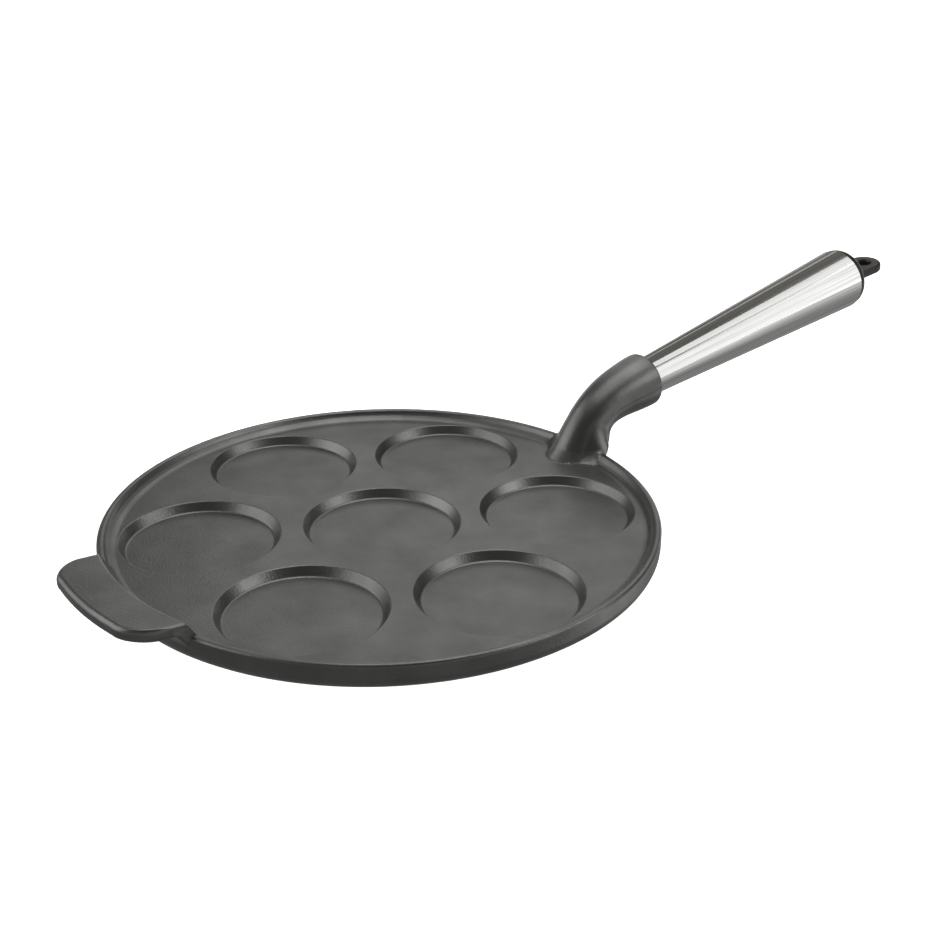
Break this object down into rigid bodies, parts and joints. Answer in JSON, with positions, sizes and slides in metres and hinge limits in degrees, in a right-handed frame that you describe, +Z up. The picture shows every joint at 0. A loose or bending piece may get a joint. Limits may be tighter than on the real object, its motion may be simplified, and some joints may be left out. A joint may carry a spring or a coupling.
{
  "type": "blini pan",
  "caption": "Round cast iron pan with shallow round wells for small pancakes, an upswept neck with a hollow steel handle and a hanging eye, and a helper tab opposite.",
  "frame": {"origin": "middle of the round flat underside", "axes": "+X from the pan's middle out along the handle, +Y to the left of the handle as seen from above with the handle pointing away, +Z up out of the wells"},
  "size_m": [0.4642, 0.23, 0.0679],
  "materials": {
    "cast_iron": "seasoned, satin",
    "polished_steel": "polished, fine lines along its length",
    "zinc_plated_steel": "zinc plated",
    "blackened_iron": "blackened, satin"
  },
  "bodies": {
    "root": {"pan_casting": "cast_iron", "handle_sleeve": "polished_steel", "tie_rod": "zinc_plated_steel", "end_cap_eye": "blackened_iron"}
  },
  "joints": []
}
